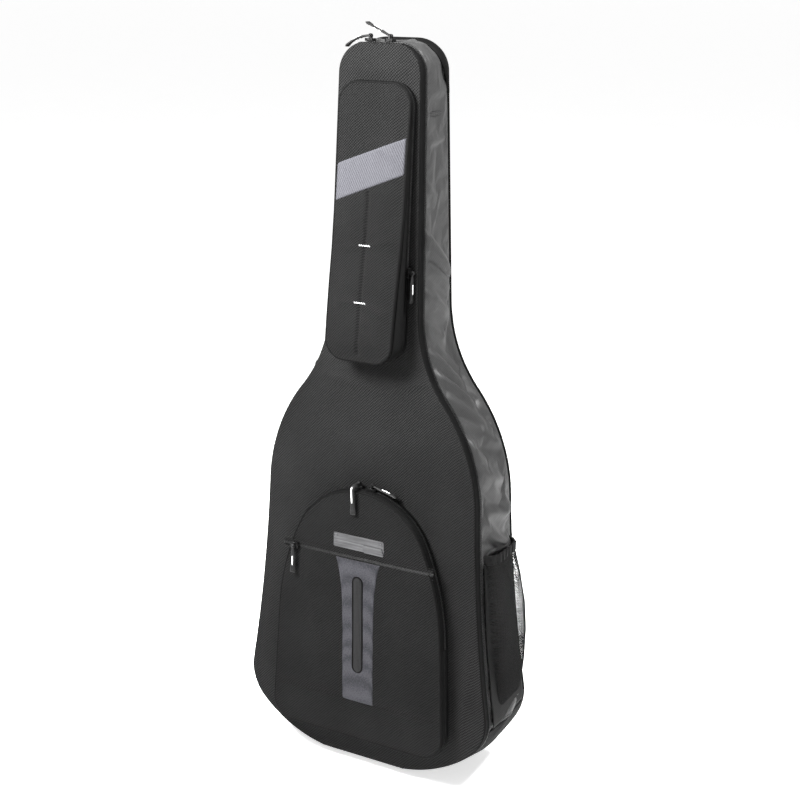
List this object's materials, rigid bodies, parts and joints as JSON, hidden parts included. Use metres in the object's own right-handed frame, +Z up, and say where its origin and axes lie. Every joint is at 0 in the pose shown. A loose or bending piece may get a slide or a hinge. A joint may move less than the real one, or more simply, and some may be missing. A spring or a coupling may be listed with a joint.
{
  "type": "padded gig bag",
  "caption": "Padded guitar gig bag with a fold-down zip front, arched body pocket, neck pocket, mesh side pocket, back straps and carry handle.",
  "frame": {"origin": "centre of the base on the ground, under the middle of the bag", "axes": "+Z up the bag, -Y towards the front cover, +X towards the mesh pocket side"},
  "size_m": [0.4331, 0.1866, 1.1064],
  "materials": {
    "foam": "padding foam, hidden",
    "main_fabric": "matte ribbed nylon",
    "side_fabric": "satin nylon",
    "base_fabric": "coated heavy nylon",
    "lining": "soft brushed lining",
    "piping": "satin bound piping",
    "zip_tape": "woven tape with coil",
    "rest_foam": "brushed pile over foam",
    "mesh": "open knitted mesh",
    "binding": "elastic binding",
    "strap_fabric": "ribbed nylon with mesh back",
    "webbing": "woven webbing",
    "buckle_plastic": "moulded, fine grain",
    "grip_rubber": "soft moulded grip",
    "pocket_side": "plain nylon",
    "accent_mesh": "fine spacer mesh",
    "insert_fabric": "raised ribbed insert",
    "accent_band": "ribbed grey cloth",
    "badge_metal": "brushed, blank",
    "slider_metal": "black enamel",
    "pull_rubber": "moulded, matte"
  },
  "bodies": {
    "shell": {"back_foam": "foam", "back_cover": "main_fabric", "back_piping": "piping", "base_foam": "foam", "left_side_foam": "foam", "right_side_foam": "foam", "neck_side_foam": "foam", "head_foam": "foam", "side_cover": "side_fabric", "base_guard": "base_fabric", "shell_lining": "lining", "sill_cover": "main_fabric", "sill_foam": "foam", "sill_piping": "piping", "main_zip_shell": "zip_tape", "neck_rest": "rest_foam", "mesh_pocket": "mesh", "mesh_pocket_hem": "binding", "shoulder_strap_right": "strap_fabric", "shoulder_strap_left": "strap_fabric", "strap_webbing": "webbing", "ladder_locks": "buckle_plastic", "strap_anchors": "webbing", "strap_yoke": "main_fabric", "handle_anchors": "webbing"},
    "front_cover": {"front_cover_skin": "main_fabric", "front_cover_foam": "foam", "front_cover_lining": "lining", "front_piping": "piping", "main_zip_front": "zip_tape", "body_pocket_wall": "pocket_side", "body_pocket_front": "main_fabric", "neck_pocket_wall": "pocket_side", "neck_pocket_front": "main_fabric", "accent_stripe_lower": "accent_mesh", "slot_insert_lower": "insert_fabric"},
    "body_flap": {"body_pocket_flap": "main_fabric", "body_pocket_zip": "zip_tape", "accent_stripe_upper": "accent_mesh", "slot_insert_upper": "insert_fabric", "badge_plate": "badge_metal", "flat_pocket_zip": "zip_tape"},
    "neck_flap": {"neck_pocket_flap": "main_fabric", "neck_pocket_zip": "zip_tape", "neck_accent_band": "accent_band"},
    "side_handle": {"side_handle_webbing": "webbing", "side_handle_grip": "grip_rubber"},
    "hang_loop": {"hang_loop": "webbing"},
    "main_slider_left": {"main_slider_left": "slider_metal"},
    "main_slider_right": {"main_slider_right": "slider_metal"},
    "main_pull_left": {"main_pull_left": "pull_rubber"},
    "main_pull_right": {"main_pull_right": "pull_rubber"},
    "neck_slider": {"neck_slider": "slider_metal"},
    "neck_pull": {"neck_pull": "pull_rubber"},
    "body_slider_left": {"body_slider_left": "slider_metal"},
    "body_slider_right": {"body_slider_right": "slider_metal"},
    "body_pull_left": {"body_pull_left": "pull_rubber"},
    "body_pull_right": {"body_pull_right": "pull_rubber"},
    "flat_slider": {"flat_slider": "slider_metal"},
    "flat_pull": {"flat_pull": "pull_rubber"}
  },
  "joints": [
    {"name": "front_cover_fold", "type": "hinge", "parent": "shell", "child": "front_cover", "pos_m": [0, -0.06795, 0.05191], "axis": [1, 0, 0], "range_deg": [0, 90]},
    {"name": "body_flap_fold", "type": "hinge", "parent": "front_cover", "child": "body_flap", "pos_m": [0, -0.08773, 0.23539], "axis": [1, 0, 0], "range_deg": [0, 75]},
    {"name": "neck_flap_fold", "type": "hinge", "parent": "front_cover", "child": "neck_flap", "pos_m": [0, -0.06149, 0.77377], "axis": [1, 0, 0], "range_deg": [0, 80]},
    {"name": "main_slide_left", "type": "hinge", "parent": "front_cover", "child": "main_slider_left", "pos_m": [-0.02357, 0.00392, 1.03725], "axis": [0, -0.9983, 0.0586], "range_deg": [0, 30]},
    {"name": "main_slide_right", "type": "slide", "parent": "front_cover", "child": "main_slider_right", "axis": [1, 0, 0], "range_m": [0, 0.016]},
    {"name": "main_pull_swing_left", "type": "hinge", "parent": "main_slider_left", "child": "main_pull_left", "pos_m": [-0.02357, 0.00685, 1.08707], "axis": [0, 0.9983, -0.0586], "range_deg": [0, 55]},
    {"name": "main_pull_swing_right", "type": "hinge", "parent": "main_slider_right", "child": "main_pull_right", "pos_m": [0.008, 0.00685, 1.08707], "axis": [0, 0.9983, -0.0586], "range_deg": [-10, 65]},
    {"name": "neck_slide", "type": "slide", "parent": "front_cover", "child": "neck_slider", "axis": [0.0105, 0.0586, 0.9982], "range_m": [0, 0.2]},
    {"name": "neck_pull_swing", "type": "hinge", "parent": "neck_slider", "child": "neck_pull", "pos_m": [0.06364, -0.03169, 0.77194], "axis": [0, -0.9983, 0.0586], "range_deg": [0, 150]},
    {"name": "body_slide_left", "type": "hinge", "parent": "body_flap", "child": "body_slider_left", "pos_m": [0, -0.0644, 0.33419], "axis": [0, -0.9983, 0.0586], "range_deg": [0, 60]},
    {"name": "body_slide_right", "type": "hinge", "parent": "body_flap", "child": "body_slider_right", "pos_m": [0, -0.0644, 0.33419], "axis": [0, 0.9983, -0.0586], "range_deg": [0, 60]},
    {"name": "body_pull_swing_left", "type": "hinge", "parent": "body_slider_left", "child": "body_pull_left", "pos_m": [-0.0097, -0.05718, 0.4572], "axis": [-0.9969, -0.0046, -0.0783], "range_deg": [0, 90]},
    {"name": "body_pull_swing_right", "type": "hinge", "parent": "body_slider_right", "child": "body_pull_right", "pos_m": [0.01292, -0.0572, 0.4569], "axis": [0, -0.9983, 0.0586], "range_deg": [0, 100]},
    {"name": "flat_slide", "type": "slide", "parent": "body_flap", "child": "flat_slider", "axis": [1, 0, 0], "range_m": [0, 0.22]},
    {"name": "flat_pull_swing", "type": "hinge", "parent": "flat_slider", "child": "flat_pull", "pos_m": [-0.109, -0.0862, 0.34849], "axis": [-1, 0, 0], "range_deg": [0, 100]},
    {"name": "side_handle_swing", "type": "hinge", "parent": "shell", "child": "side_handle", "pos_m": [-0.187, 0.032, 0.378], "axis": [0, 0, 1], "range_deg": [-30, 30]},
    {"name": "hang_loop_lift", "type": "hinge", "parent": "shell", "child": "hang_loop", "pos_m": [0, 0.0735, 1.052], "axis": [1, 0, 0], "range_deg": [0, 170]}
  ]
}
